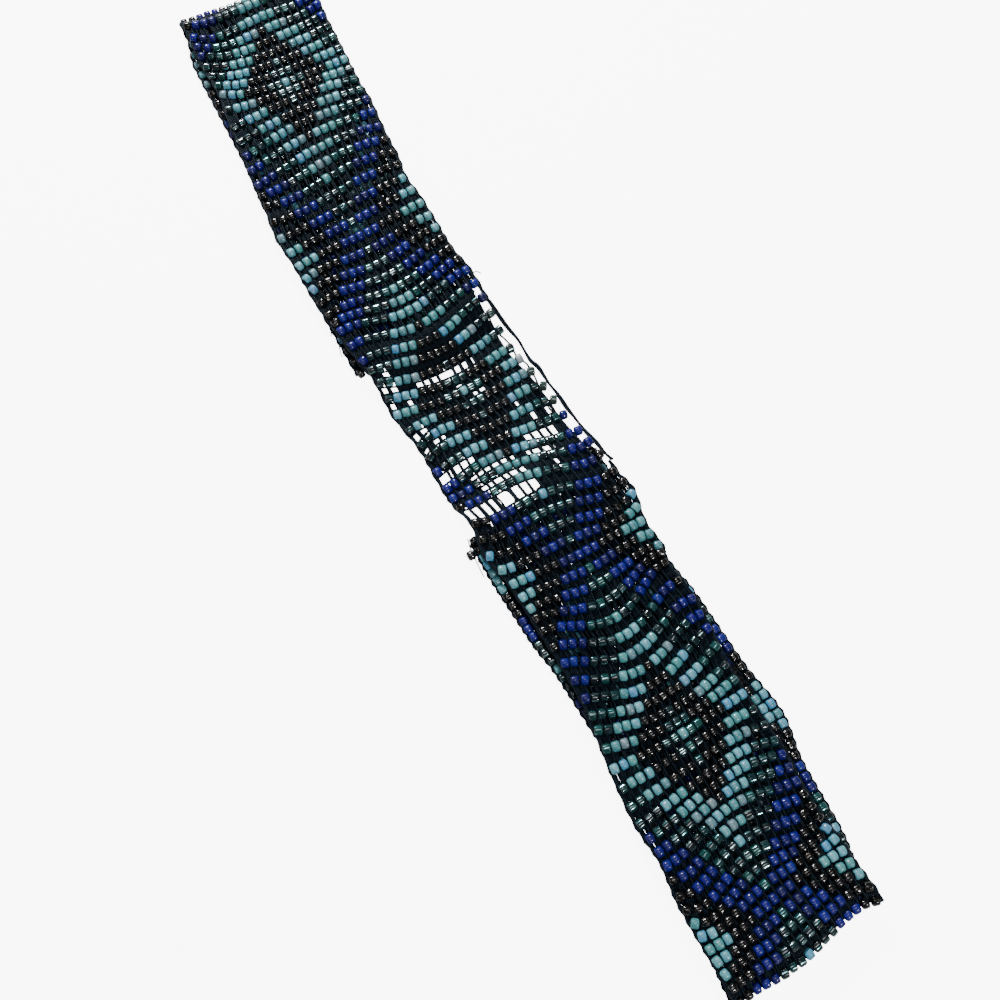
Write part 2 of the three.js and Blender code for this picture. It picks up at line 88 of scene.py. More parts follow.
# Columns of the two tables of how the rows lie. Slip is in row pitches, and the rest in column pitches. A
# lean is how far ahead of its middle bead a row lies at its far end, half way there, half way back or at
# its near end.
ROW, SLIP, DRIFT, FAR_LEAN, MID_FAR_LEAN, MID_NEAR_LEAN, NEAR_LEAN, FAR_REACH, NEAR_REACH = range(9)
TOP_LIE = np.array([
    (-10, 0.0, 0.25, 0.0, 0.0, -0.25, -0.75, 7.75, 8.0),
    (-8, 0.0, 0.25, 0.0, 0.0, -0.25, -0.75, 7.75, 8.0),
    (-6, 0.3, 0.25, 0.0, 0.25, 0.25, -1.0, 7.75, 8.0),
    (-4, 0.2, 0.0, -0.25, 0.0, -0.25, -1.75, 7.75, 8.0),
    (0, -0.2, -0.5, 0.5, 0.25, -0.5, -2.0, 7.75, 7.5),
    (2, -0.7, -0.75, 1.0, 0.25, 0.0, 0.25, 7.75, 8.0),
    (4, -0.7, -1.0, 0.75, 0.25, 0.25, 1.0, 8.0, 8.25),
    (6, -0.4, -1.75, 0.75, 0.0, 0.5, 1.25, 8.25, 8.0),
    (8, 0.0, -2.25, 0.5, -0.25, 0.5, 0.0, 8.5, 7.75),
    (10, 0.5, -2.25, -0.25, -0.25, 0.25, 0.25, 8.0, 8.25),
    (12, 0.9, -2.25, -0.5, -0.25, 0.0, 0.25, 8.25, 8.0),
    (14, 1.3, -2.25, -1.0, -0.5, -0.5, -0.5, 8.25, 8.0),
    (16, 1.4, -2.0, -1.5, -0.5, -0.5, -0.5, 8.0, 8.0),
    (18, 1.3, -1.75, -1.5, -0.75, -0.75, -1.5, 8.25, 8.0),
    (20, 1.7, -1.5, -1.75, -0.75, -0.75, -1.25, 8.0, 7.75),
    (22, 1.5, -1.0, -1.0, -0.25, -0.25, -1.25, 7.5, 7.75),
    (23, 1.7, -1.0, -0.5, -0.25, -0.5, -1.5, 7.5, 7.75),
    (24, 1.6, -0.75, -0.5, -0.25, -0.25, -1.0, 7.5, 8.0),
    (26, 1.6, -0.25, 0.25, -0.25, -0.5, 0.0, 7.75, 7.75),
    (28, 1.5, 0.0, 1.0, 0.5, -0.25, 0.25, 7.75, 8.0),
    (29, 1.5, 0.0, 2.0, 1.0, 0.0, 0.75, 8.0, 8.0),
    (31, 1.7, 0.5, 1.75, 1.25, -0.25, -0.5, 8.0, 8.25),
    (32, 2.2, 0.75, 1.5, 1.0, 0.0, -0.5, 8.0, 8.0),
    (34, 2.4, 0.75, 0.75, 1.0, 0.0, -0.5, 8.5, 8.5),
    (36, 2.6, 0.75, 0.0, 0.0, -0.25, -0.5, 7.75, 7.75),
    (38, 2.7, 1.25, -0.5, -0.5, -0.5, -1.0, 7.5, 8.0),
    (40, 3.0, 0.75, -2.75, -1.25, -1.0, -2.5, 7.5, 7.5),
    (42, 3.3, 1.0, -2.0, -1.25, -0.75, -2.5, 7.75, 7.5),
    (44, 3.4, 1.0, -2.25, -1.0, -0.5, -2.0, 7.5, 7.5),
    (46, 3.2, 0.5, -1.25, -0.25, -0.5, -1.75, 7.5, 7.5),
    (48, 2.7, 0.5, -0.5, -0.25, 0.0, -0.25, 7.5, 8.0),
    (51, 2.3, 0.5, 0.5, -0.25, 0.5, 1.0, 7.75, 8.5),
    (54, 1.5, 0.25, 1.0, 0.25, 1.0, 1.75, 7.75, 8.0),
    (57, 1.2, -0.25, 0.25, 0.5, 1.25, 1.5, 8.25, 8.0),
    (60, 0.8, -0.25, -0.5, -0.5, 0.75, 1.0, 8.5, 8.0),
    (64, 0.2, 0.0, -1.0, -1.0, 0.25, 0.5, 8.5, 8.25),
    (66, 0.2, 0.0, -1.0, -0.5, 0.25, 0.5, 8.25, 8.25),
])
UNDER_ROW, UNDER_DRIFT, UNDER_FAR_LEAN, UNDER_NEAR_LEAN = range(4)
UNDER_LIE = np.array([
    (-41, -2.0, -1.5, 1.25),
    (-32, -2.0, -0.75, 0.75),
    (-26, -1.75, 0.0, 0.0),
    (-22, -1.25, 0.0, -0.25),
    (-17, -1.0, 0.0, -0.5),
    (-12, -0.75, 0.0, -0.75),
    (-9, 0.25, 0.0, -0.75),
    (65, 0.0, -1.0, 0.5),
    (72, 1.0, 0.0, 0.5),
    (78, 1.25, 0.0, 0.25),
    (83, 2.25, 0.0, 0.0),
    (88, 1.5, -0.25, -0.25),
    (92, 1.25, -0.5, -0.5),
    (96, 1.0, -0.75, -0.25),
    (99, 0.5, -0.75, 0.0),
    (103, 0.25, -1.0, 0.5),
    (108, 0.0, -1.25, 1.0),
    (112, 0.0, -1.5, 1.5),
])


def follow(table, column, row):
    """Value of one column of a table at the given rows: a cubic between neighbouring stations. Its slope at
    a station is the harmonic mean of the straight slopes on both sides, or level where they change sign."""
    at = table[:, 0]
    value = table[:, column]
    slope = np.diff(value) / np.diff(at)
    before = slope[:-1]
    after = slope[1:]
    level = before * after <= 0
    tangent = np.zeros_like(value)
    tangent[1:-1] = np.where(level, 0.0, 2 * before * after / np.where(level, 1.0, before + after))
    row = np.clip(row, at[0], at[-1])
    i = np.clip(np.searchsorted(at, row, side="right") - 1, 0, len(at) - 2)
    span = at[i + 1] - at[i]
    t = (row - at[i]) / span
    start = value[i] * (1 + 2 * t) * (1 - t) ** 2 + tangent[i] * span * t * (1 - t) ** 2
    end = value[i + 1] * t * t * (3 - 2 * t) - tangent[i + 1] * span * t * t * (1 - t)
    return start + end


def top_along(row):
    """Place of a row of the top layer along the belt: even spacing plus the row's slip."""
    return TOP_PITCH * (row - MIDDLE_ROW + follow(TOP_LIE, SLIP, row))


fold_centre_height = FOLD_RADIUS + BEAD_RADIUS
upper_layer_height = 3 * BEAD_RADIUS + LAYER_GAP
turn_rows = np.pi * FOLD_RADIUS / TOP_PITCH
upper_turn_end = UPPER_FOLD_ROW - turn_rows
lower_turn_end = LOWER_FOLD_ROW + turn_rows
upper_fold_centre = top_along(UPPER_FOLD_ROW)
lower_fold_centre = top_along(LOWER_FOLD_ROW)
upper_cut_end = upper_fold_centre + UPPER_UNDER_PITCH * (upper_turn_end - FIRST_ROW) + BEAD_RADIUS
lower_cut_end = lower_fold_centre - LOWER_UNDER_PITCH * (LAST_ROW - lower_turn_end) - BEAD_RADIUS


def ease(share):
    """Smooth step 3tt - 2ttt from 0 to 1."""
    t = np.clip(share, 0, 1)
    return t * t * (3 - 2 * t)


def cut_lean(row):
    """Lean of a cut end across the belt, in millimetres forward per millimetre towards the far edge."""
    far = follow(UNDER_LIE, UNDER_FAR_LEAN, row)
    near = follow(UNDER_LIE, UNDER_NEAR_LEAN, row)
    return (far - near) / (2 * EDGE_COLUMN)


def top_height(x, y):
    """Height of the middle of the top layer: it lies on the under layer, eases down on the table between
    the cut ends, and eases up to the top of the fold at either end."""
    past_upper = x - (upper_cut_end + cut_lean(FIRST_ROW) * y) - DROP_START
    past_lower = lower_cut_end + cut_lean(LAST_ROW) * y - DROP_START - x
    lifted = np.maximum(1 - ease(past_upper / DROP_LENGTH), 1 - ease(past_lower / DROP_LENGTH))
    from_fold = np.minimum(x - upper_fold_centre, lower_fold_centre - x)
    bulge = (fold_centre_height + FOLD_RADIUS - upper_layer_height) * (1 - ease(from_fold / BULGE_LENGTH))
    return BEAD_RADIUS + (upper_layer_height - BEAD_RADIUS) * lifted + bulge


def unit(vectors):
    """The vectors at length 1."""
    return vectors / np.linalg.norm(vectors, axis=-1, keepdims=True)


def row_lean(row, place, tucked):
    """How far ahead of its middle bead a row lies, at places from -1 at the near edge to 1 at the far one:
    the fourth-power curve through its four leans. Tucked-under rows have two, and a square-law bow."""
    far = np.where(tucked, follow(UNDER_LIE, UNDER_FAR_LEAN, row), follow(TOP_LIE, FAR_LEAN, row))
    near = np.where(tucked, follow(UNDER_LIE, UNDER_NEAR_LEAN, row), follow(TOP_LIE, NEAR_LEAN, row))
    mid_far = np.where(tucked, (3 * far - near) / 8, follow(TOP_LIE, MID_FAR_LEAN, row))
    mid_near = np.where(tucked, (3 * near - far) / 8, follow(TOP_LIE, MID_NEAR_LEAN, row))
    fourth = (2 * (far + near) - 8 * (mid_far + mid_near)) / 3
    second = (far + near) / 2 - fourth
    first = (8 * (mid_far - mid_near) - (far - near)) / 6
    third = (far - near) / 2 - first
    return place * (first + place * (second + place * (third + place * fourth)))


def on_band(row, column):
    """Points on the middle surface of the band and the outward directions there. Along the belt a row lies
    flat, turns round the fold on a half circle, and runs back underneath, where outward is down."""
    row, column = np.broadcast_arrays(np.asarray(row, float), np.asarray(column, float))
    tucked = (row < upper_turn_end) | (row > lower_turn_end)
    place = -column / EDGE_COLUMN
    lean = row_lean(row, place, tucked) * COLUMN_PITCH
    drift = np.where(tucked, follow(UNDER_LIE, UNDER_DRIFT, row), follow(TOP_LIE, DRIFT, row))
    reach = np.where(column < 0, follow(TOP_LIE, FAR_REACH, row), follow(TOP_LIE, NEAR_REACH, row))
    y = (drift + reach * place) * COLUMN_PITCH
    level = np.zeros_like(y)

    x_top = top_along(row) + lean
    slope = top_height(x_top + 0.5, y) - top_height(x_top - 0.5, y)
    top = np.stack((x_top, y, top_height(x_top, y)), -1)
    top_out = np.stack((-slope, level, level + 1), -1)

    upper = row < MIDDLE_ROW
    side = np.where(upper, -1.0, 1.0)
    centre = np.where(upper, upper_fold_centre, lower_fold_centre) + lean
    turned = np.where(upper, UPPER_FOLD_ROW - row, row - LOWER_FOLD_ROW)
    angle = turned / turn_rows * np.pi
    fold_x = centre + side * FOLD_RADIUS * np.sin(angle)
    fold = np.stack((fold_x, y, fold_centre_height + FOLD_RADIUS * np.cos(angle)), -1)
    fold_out = np.stack((side * np.sin(angle), level, np.cos(angle)), -1)

    pitch = np.where(upper, UPPER_UNDER_PITCH, LOWER_UNDER_PITCH)
    under = np.stack((centre - side * (turned - turn_rows) * pitch, y, level + BEAD_RADIUS), -1)
    under_out = np.stack((level, level, level - 1), -1)

    turned = turned[..., None]
    on_top = turned <= 0
    on_fold = turned < turn_rows
    points = np.where(on_top, top, np.where(on_fold, fold, under))
    outward = np.where(on_top, top_out, np.where(on_fold, fold_out, under_out))
    return points, unit(outward)


# The stop bead is where the solid one is, which gives how far the whole belt is shifted onto its origin.
STOP_BEAD_ROW = 111
STOP_BEAD_GAP = 0.35
stop_seat = on_band(STOP_BEAD_ROW, COLUMNS / 2)[0]
stop_middle = np.array((stop_seat[0], stop_seat[1] - STOP_BEAD_GAP - BEAD_LENGTH / 2, BEAD_RADIUS))
stop_low, stop_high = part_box("stop_bead")
shift = np.array((stop_low + stop_high) / 2) * 1000 - stop_middle
shift[2] = 0.0

# Bead chart: the number of a bead is its distance from the middle column plus its distance from the
# nearest motif row, and these are the last numbers of each colour, from the middle of a diamond outwards.
MOTIF_ROWS = 24
CHART_ENDS = (0.5, 2.5, 5.5, 8.5, 11.5, 14.5, 17.5)
CHART_GLASS = np.array(("turquoise", "teal", "bronze", "turquoise", "teal", "cobalt", "bronze", "turquoise"))
bead_row, bead_column = np.meshgrid(
    np.arange(FIRST_ROW, LAST_ROW + 1), np.arange(-EDGE_COLUMN, EDGE_COLUMN + 1), indexing="ij"
)
bead_row = bead_row.ravel()
bead_column = bead_column.ravel()
from_motif = np.abs((bead_row + MOTIF_ROWS // 2) % MOTIF_ROWS - MOTIF_ROWS // 2)
bead_glass = CHART_GLASS[np.searchsorted(CHART_ENDS, np.abs(bead_column) + from_motif)]

# Tumbled beads differ: shares of their length and thickness, and millimetres and radians of loose seating.
LENGTH_SPREAD = 0.07
THICKNESS_SPREAD = 0.05
SEAT_SPREAD = 0.16
TILT_SPREAD = 0.09
random = np.random.default_rng(2618)
bead_count = len(bead_row)
bead_middle, bead_outward = on_band(bead_row, bead_column)
bead_axis = unit(on_band(bead_row, bead_column + 0.3)[0] - on_band(bead_row, bead_column - 0.3)[0])
bead_axis = unit(bead_axis + random.uniform(-TILT_SPREAD, TILT_SPREAD, (bead_count, 3)))
bead_middle = bead_middle + random.uniform(-SEAT_SPREAD, SEAT_SPREAD, (bead_count, 3)) * (1.0, 0.5, 0.6)
bead_length = BEAD_LENGTH * random.uniform(1 - LENGTH_SPREAD, 1 + LENGTH_SPREAD, bead_count)
bead_thickness = BEAD_DIAMETER * random.uniform(1 - THICKNESS_SPREAD, 1 + THICKNESS_SPREAD, bead_count)
bead_roll = random.uniform(0, 2 * np.pi, bead_count)
bead_chance = random.uniform(0, 1, (bead_count, 3))

# At the frayed stretch of the far edge one bead is pale grey and four are of clear grey-green glass.
bead_chance[:, 0] *= 0.95
bead_chance[np.isin(bead_row, (21, 24, 25, 26, 27)) & (bead_column == -EDGE_COLUMN), 0] = 1.0

# Half outline of a bead from one mouth of its hole to the other: shares of half its length and of its radius
BEAD_OUTLINE = np.array((
    (-0.82, 0.32), (-0.95, 0.56), (-0.85, 0.8), (-0.55, 0.95),
    (0.55, 0.95), (0.85, 0.8), (0.95, 0.56), (0.82, 0.32),
))
BEAD_SIDES = 10


def put_mesh(name, points, quads, triangles, attributes):
    """Makes a smooth mesh object from points in millimetres, its four- and three-cornered faces, and the
    named vectors that its material reads at each point."""
    mesh = bpy.data.meshes.new(name)
    corners = np.concatenate((quads.ravel(), triangles.ravel())).astype(np.int32)
    sizes = np.concatenate((np.full(len(quads), 4), np.full(len(triangles), 3)))
    starts = np.concatenate(((0,), np.cumsum(sizes)[:-1])).astype(np.int32)
    mesh.vertices.add(len(points))
    mesh.vertices.foreach_set("co", ((points + shift) / 1000).astype(np.float32).ravel())
    mesh.loops.add(len(corners))
    mesh.loops.foreach_set("vertex_index", corners)
    mesh.polygons.add(len(sizes))
    mesh.polygons.foreach_set("loop_start", starts)
    mesh.update(calc_edges=True)
    mesh.polygons.foreach_set("use_smooth", np.ones(len(sizes), bool))
    for label, values in attributes.items():
        attribute = mesh.attributes.new(label, "FLOAT_VECTOR", "POINT")
        attribute.data.foreach_set("vector", values.astype(np.float32).ravel())
    piece = bpy.data.objects.new(name, mesh)
    bpy.context.scene.collection.objects.link(piece)
    return piece


def string_beads(name, chosen, straight):
    """Beads as one mesh. Each is its outline turned round its axis: a point is the middle, plus the axis
    times the share of half the length, plus the radius share times outward cos a plus sideways sin a. The
    normals of its wall turn by the share straight to square out from the axis, so glints become bars."""
    middle = bead_middle[chosen]
    axis = bead_axis[chosen]
    sideways = unit(np.cross(bead_outward[chosen], axis))
    outward = np.cross(axis, sideways)
    angle = (np.arange(BEAD_SIDES) + 0.5) * 2 * np.pi / BEAD_SIDES
    round_axis = outward[:, None, :] * np.cos(angle)[:, None] + sideways[:, None, :] * np.sin(angle)[:, None]
    along, out = BEAD_OUTLINE.T
    along_axis = axis[:, None, :] * (along * bead_length[chosen, None] / 2)[..., None]
    radii = out * bead_thickness[chosen, None] / 2
    points = (middle[:, None, None, :] + along_axis[:, :, None, :]
              + radii[:, :, None, None] * round_axis[:, None, :, :])
    count, rings = radii.shape
    ring = np.arange(rings)[:, None]
    step = np.arange(BEAD_SIDES)[None, :]
    next_ring = (ring + 1) % rings
    next_step = (step + 1) % BEAD_SIDES
    one = np.stack((ring * BEAD_SIDES + step, next_ring * BEAD_SIDES + step,
                    next_ring * BEAD_SIDES + next_step, ring * BEAD_SIDES + next_step), -1).reshape(-1, 4)
    quads = (np.arange(count)[:, None, None] * rings * BEAD_SIDES + one).reshape(-1, 4)
    turn = angle[None, None, :] + bead_roll[chosen, None, None] + 0 * radii[:, :, None]
    around = np.stack((np.cos(turn), np.sin(turn), along[None, :, None] + 0 * turn), -1)
    chance = np.broadcast_to(bead_chance[chosen][:, None, None, :], points.shape)
    no_triangles = np.zeros((0, 3), int)
    beads = put_mesh(name, points.reshape(-1, 3), quads, no_triangles,
                     {"around": around.reshape(-1, 3), "chance": chance.reshape(-1, 3)})
    radial = np.broadcast_to(round_axis[:, None, :, :], points.shape)
    wall = np.broadcast_to(straight * (out == out.max())[None, :, None, None], (*points.shape[:3], 1))
    smooth = np.empty(points.size)
    beads.data.vertex_normals.foreach_get("vector", smooth)
    normals = radial * wall + smooth.reshape(points.shape) * (1 - wall)
    beads.data.normals_split_custom_set_from_vertices(unit(normals).reshape(-1, 3).tolist())
    return beads


def to_linear(colour):
    """sRGB hex to linear red, green and blue with full alpha: the sRGB curve for each channel."""
    channels = np.array([int(colour[i:i + 2], 16) for i in (1, 3, 5)]) / 255
    linear = np.where(channels <= 0.04045, channels / 12.92, ((channels + 0.055) / 1.055) ** 2.4)
    return (*linear.tolist(), 1.0)


def add_node(tree, kind, inputs=None, stops=(), **settings):
    """Adds a node, sets its settings, its colour stops, and its inputs from values or other sockets."""
    node = tree.nodes.new(kind)
    for setting, value in settings.items():
        setattr(node, setting, value)
    for position, colour in stops[2:]:
        node.color_ramp.elements.new(position)
    for element, (position, colour) in zip(node.color_ramp.elements if stops else (), stops):
        element.position = position
        element.color = to_linear(colour)
    for socket, value in (inputs or {}).items():
        if isinstance(value, bpy.types.NodeSocket):
            tree.links.new(value, node.inputs[socket])
        else:
            node.inputs[socket].default_value = value
    return node


# Opaque turquoise glass: dyed through and tumbled to a satin shine, each bead a little bluer, greener or
# greyer than the next, with clouds about 1.1 mm wide in it. It shows a small glint of light near its top.
MOTTLE_PER_METRE = 900.0
turquoise = bpy.data.materials.new("opaque_turquoise_glass")
turquoise.use_nodes = True
tree = turquoise.node_tree
surface = tree.nodes["Principled BSDF"]
chance = add_node(tree, "ShaderNodeAttribute", attribute_name="chance")
parts = add_node(tree, "ShaderNodeSeparateXYZ", {"Vector": chance.outputs["Vector"]})
shade = add_node(tree, "ShaderNodeValToRGB", {"Fac": parts.outputs["X"]}, stops=(
    (0.0, "#7c949f"), (0.14, "#4a8f9a"), (0.32, "#50a2a4"), (0.5, "#68b2b8"), (0.66, "#5caec2"),
    (0.82, "#78c0cc"), (0.93, "#4a9ecc"), (1.0, "#aebcc2"),
))
place = add_node(tree, "ShaderNodeTexCoord")
mottle = add_node(tree, "ShaderNodeTexNoise", {"Vector": place.outputs["Object"], "Scale": MOTTLE_PER_METRE,
                                               "Detail": 3.0})
cloud = add_node(tree, "ShaderNodeMapRange", {"Value": mottle.outputs["Fac"], "From Min": 0.3,
                                              "From Max": 0.7, "To Min": 0.82, "To Max": 1.08})
tint = add_node(tree, "ShaderNodeVectorMath", {0: shade.outputs["Color"], 1: cloud.outputs["Result"]},
                operation="MULTIPLY")
tree.links.new(tint.outputs["Vector"], surface.inputs["Base Color"])
surface.inputs["Roughness"].default_value = 0.38
surface.inputs["IOR"].default_value = 1.52
surface.inputs["Coat Weight"].default_value = 0.7
surface.inputs["Coat Roughness"].default_value = 0.1

# Silver-lined teal glass: dark clear glass with a mirror film in its hole. The film shows as bright lines
# along the bead, one for each flat of the hole, and the rest of the bead looks almost black-green.
HOLE_FLATS = 4
teal = bpy.data.materials.new("silver_lined_teal_glass")
teal.use_nodes = True
tree = teal.node_tree
surface = tree.nodes["Principled BSDF"]
chance = add_node(tree, "ShaderNodeAttribute", attribute_name="chance")
parts = add_node(tree, "ShaderNodeSeparateXYZ", {"Vector": chance.outputs["Vector"]})
around = add_node(tree, "ShaderNodeAttribute", attribute_name="around")
turn = add_node(tree, "ShaderNodeSeparateXYZ", {"Vector": around.outputs["Vector"]})
angle = add_node(tree, "ShaderNodeMath", {0: turn.outputs["Y"], 1: turn.outputs["X"]}, operation="ARCTAN2")
flats = add_node(tree, "ShaderNodeMath", {0: angle.outputs["Value"], 1: float(HOLE_FLATS)},
                 operation="MULTIPLY")
wave = add_node(tree, "ShaderNodeMath", {0: flats.outputs["Value"]}, operation="COSINE")
line = add_node(tree, "ShaderNodeMapRange", {"Value": wave.outputs["Value"], "From Min": 0.7,
                                             "From Max": 0.98})
end = add_node(tree, "ShaderNodeMath", {0: turn.outputs["Z"]}, operation="ABSOLUTE")
inside = add_node(tree, "ShaderNodeMapRange", {"Value": end.outputs["Value"], "From Min": 0.95,
                                               "From Max": 0.6})
silver = add_node(tree, "ShaderNodeMath", {0: line.outputs["Result"], 1: inside.outputs["Result"]},
                  operation="MULTIPLY")
depth = add_node(tree, "ShaderNodeValToRGB", {"Fac": parts.outputs["X"]}, stops=(
    (0.0, "#051418"), (0.25, "#061e24"), (0.5, "#082b30"), (0.75, "#0d3c3f"), (0.93, "#165654"),
    (1.0, "#3c4d48"),
))
film = add_node(tree, "ShaderNodeValToRGB", {"Fac": parts.outputs["Y"]}, stops=(
    (0.0, "#2a5759"), (0.4, "#468084"), (0.75, "#78b0b4"), (1.0, "#cdeaee"),
))
blend = add_node(tree, "ShaderNodeMix", {"Factor": silver.outputs["Value"], 6: depth.outputs["Color"],
                                         7: film.outputs["Color"]}, data_type="RGBA")
tree.links.new(blend.outputs[2], surface.inputs["Base Color"])
metal = add_node(tree, "ShaderNodeMapRange", {"Value": silver.outputs["Value"], "To Min": 0.25,
                                              "To Max": 0.95})
tree.links.new(metal.outputs["Result"], surface.inputs["Metallic"])
surface.inputs["Roughness"].default_value = 0.2
surface.inputs["Coat Weight"].default_value = 1.0
surface.inputs["Coat Roughness"].default_value = 0.05

# Dark bronze iris glass: black glass fired with a thin metal film that turns pink, gold and green. The film
# lies in swirls about 0.7 mm wide.
SWIRL_PER_METRE = 1500.0
bronze = bpy.data.materials.new("bronze_iris_glass")
bronze.use_nodes = True
tree = bronze.node_tree
surface = tree.nodes["Principled BSDF"]
place = add_node(tree, "ShaderNodeTexCoord")
chance = add_node(tree, "ShaderNodeAttribute", attribute_name="chance")
parts = add_node(tree, "ShaderNodeSeparateXYZ", {"Vector": chance.outputs["Vector"]})
swirl = add_node(tree, "ShaderNodeTexNoise", {"Vector": place.outputs["Object"], "Scale": SWIRL_PER_METRE,
                                              "Detail": 2.0})
iris = add_node(tree, "ShaderNodeValToRGB", {"Fac": parts.outputs["X"]}, stops=(
    (0.0, "#8a8488"), (0.2, "#9a8488"), (0.4, "#8f8c88"), (0.6, "#96896c"), (0.75, "#84908a"),
    (0.9, "#94888c"), (1.0, "#9a8c6a"),
))
film = add_node(tree, "ShaderNodeMapRange", {"Value": swirl.outputs["Fac"], "From Min": 0.64,
                                             "From Max": 0.73})
coated = add_node(tree, "ShaderNodeMix", {"Factor": film.outputs["Result"], 6: to_linear("#050405"),
                                          7: iris.outputs["Color"]}, data_type="RGBA")
pits = add_node(tree, "ShaderNodeBump", {"Height": swirl.outputs["Fac"], "Strength": 0.2,
                                         "Distance": 0.0004})
tree.links.new(coated.outputs[2], surface.inputs["Base Color"])
tree.links.new(film.outputs["Result"], surface.inputs["Metallic"])
tree.links.new(pits.outputs["Normal"], surface.inputs["Normal"])
tree.links.new(pits.outputs["Normal"], surface.inputs["Coat Normal"])
surface.inputs["Roughness"].default_value = 0.2
surface.inputs["Specular IOR Level"].default_value = 0.3
surface.inputs["Coat Weight"].default_value = 0.8
surface.inputs["Coat Roughness"].default_value = 0.06

# Opaque cobalt glass: blue-violet with a soft polish, each bead a little deeper or bluer than the next.
cobalt = bpy.data.materials.new("opaque_cobalt_glass")
cobalt.use_nodes = True
tree = cobalt.node_tree
surface = tree.nodes["Principled BSDF"]
chance = add_node(tree, "ShaderNodeAttribute", attribute_name="chance")
parts = add_node(tree, "ShaderNodeSeparateXYZ", {"Vector": chance.outputs["Vector"]})
shade = add_node(tree, "ShaderNodeValToRGB", {"Fac": parts.outputs["X"]}, stops=(
    (0.0, "#05064a"), (0.35, "#090a68"), (0.7, "#0e0e7c"), (0.9, "#101c86"), (1.0, "#15328a"),
))
tree.links.new(shade.outputs["Color"], surface.inputs["Base Color"])
surface.inputs["Roughness"].default_value = 0.42
surface.inputs["Specular IOR Level"].default_value = 0.25
surface.inputs["Coat Weight"].default_value = 0.5
surface.inputs["Coat Roughness"].default_value = 0.08

# The glass of each chart colour, and the share by which the normals of its beads turn straight
BRONZE_STRAIGHT = 0.4
GLASSES = {
    "turquoise": (turquoise, 0.3),
    "teal": (teal, 0.85),
    "bronze": (bronze, BRONZE_STRAIGHT),
    "cobalt": (cobalt, 0.3),
}
for glass, (material, straight) in GLASSES.items():
    beads = string_beads("beads_" + glass, np.flatnonzero(bead_glass == glass), straight)
    beads.data.materials.append(material)
    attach(beads, "root")
    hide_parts("woven_band")


# Stop bead
# One more dark bead that has slipped off its thread at the lower cut end and lies against the near edge.
bead_middle = stop_middle[None, :]
bead_axis = np.array(((0.0, -1.0, 0.0),))
bead_outward = np.array(((0.0, 0.0, 1.0),))
bead_length = np.array((BEAD_LENGTH,))
bead_thickness = np.array((BEAD_DIAMETER,))
stop_bead = string_beads("loose_bead", np.array((0,)), BRONZE_STRAIGHT)
stop_bead.data.materials.append(bronze)
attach(stop_bead, "root")
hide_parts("stop_bead")


# Weft threads
# Black polyester thread run through all 17 beads of a row and round the edge, where it makes a small knob.
WEFT_RADIUS = 0.42
WEFT_END = 8.52
WEFT_STOPS = 37
KNOB_START = 8.3
KNOB_SHARE = 1.3
THREAD_SIDES = 6
THREAD_TIP = 0.6
THREAD_LAY = 1.1


def lay_threads(name, paths, outward, radius, sides):
    """Threads as one mesh, from paths of equal counts of points. A point of a ring is the path point plus
    the radius times outward cos a plus sideways sin a, and a raised point closes each end."""
    count, stops = paths.shape[:2]
    ahead = unit(np.gradient(paths, axis=1))
    sideways = unit(np.cross(outward, ahead))
    upright = np.cross(ahead, sideways)
    radius = np.broadcast_to(radius, (count, stops))[..., None]
    angle = np.arange(sides) * 2 * np.pi / sides
    spoke = upright[:, :, None, :] * np.cos(angle)[:, None] + sideways[:, :, None, :] * np.sin(angle)[:, None]
    rings = (paths[:, :, None, :] + radius[..., None] * spoke).reshape(-1, 3)
    first = paths[:, 0] - ahead[:, 0] * radius[:, 0] * THREAD_TIP
    last = paths[:, -1] + ahead[:, -1] * radius[:, -1] * THREAD_TIP
    points = np.concatenate((rings, first, last))
    corner = np.arange(count * stops * sides).reshape(count, stops, sides)
    beside = np.roll(corner, -1, axis=2)
    quads = np.stack((corner[:, :-1], corner[:, 1:], beside[:, 1:], beside[:, :-1]), -1).reshape(-1, 4)
    tip = len(rings) + np.repeat(np.arange(count)[:, None], sides, 1)
    opening = np.stack((tip, corner[:, 0], beside[:, 0]), -1).reshape(-1, 3)
    closing = np.stack((tip + count, beside[:, -1], corner[:, -1]), -1).reshape(-1, 3)
    step = np.linalg.norm(np.diff(paths, axis=1), axis=-1)
    length = np.concatenate((np.zeros((count, 1)), np.cumsum(step, axis=1)), 1)
    strand = np.stack(np.broadcast_arrays(np.cos(angle), np.sin(angle), length[:, :, None]), -1)
    strand = strand.reshape(-1, 3)
    tips = np.zeros((2 * count, 3))
    return put_mesh(name, points, quads, np.concatenate((opening, closing)),
                    {"strand": np.concatenate((strand, tips))})


# Twisted black polyester: the plies show as slanting ridges about a millimetre apart, dull with a faint
# sheen. Its colour is painted shade: each ridge is lighter on its crest and darker in its grooves, and the
# dark teal-navy tint stands for the shaded beads glimpsed between rows. The strand attribute holds the cosine
# and sine round the thread and the millimetres along it.
polyester = bpy.data.materials.new("black_polyester_thread")
polyester.use_nodes = True
tree = polyester.node_tree
surface = tree.nodes["Principled BSDF"]
strand = add_node(tree, "ShaderNodeAttribute", attribute_name="strand")
parts = add_node(tree, "ShaderNodeSeparateXYZ", {"Vector": strand.outputs["Vector"]})
angle = add_node(tree, "ShaderNodeMath", {0: parts.outputs["Y"], 1: parts.outputs["X"]}, operation="ARCTAN2")
twice = add_node(tree, "ShaderNodeMath", {0: angle.outputs["Value"], 1: 2.0}, operation="MULTIPLY")
slant = add_node(tree, "ShaderNodeMath", {0: parts.outputs["Z"], 1: 2 * np.pi / THREAD_LAY,
                                          2: twice.outputs["Value"]}, operation="MULTIPLY_ADD")
ply = add_node(tree, "ShaderNodeMath", {0: slant.outputs["Value"]}, operation="SINE")
ridge = add_node(tree, "ShaderNodeBump", {"Height": ply.outputs["Value"], "Strength": 0.6,
                                          "Distance": 0.0001})
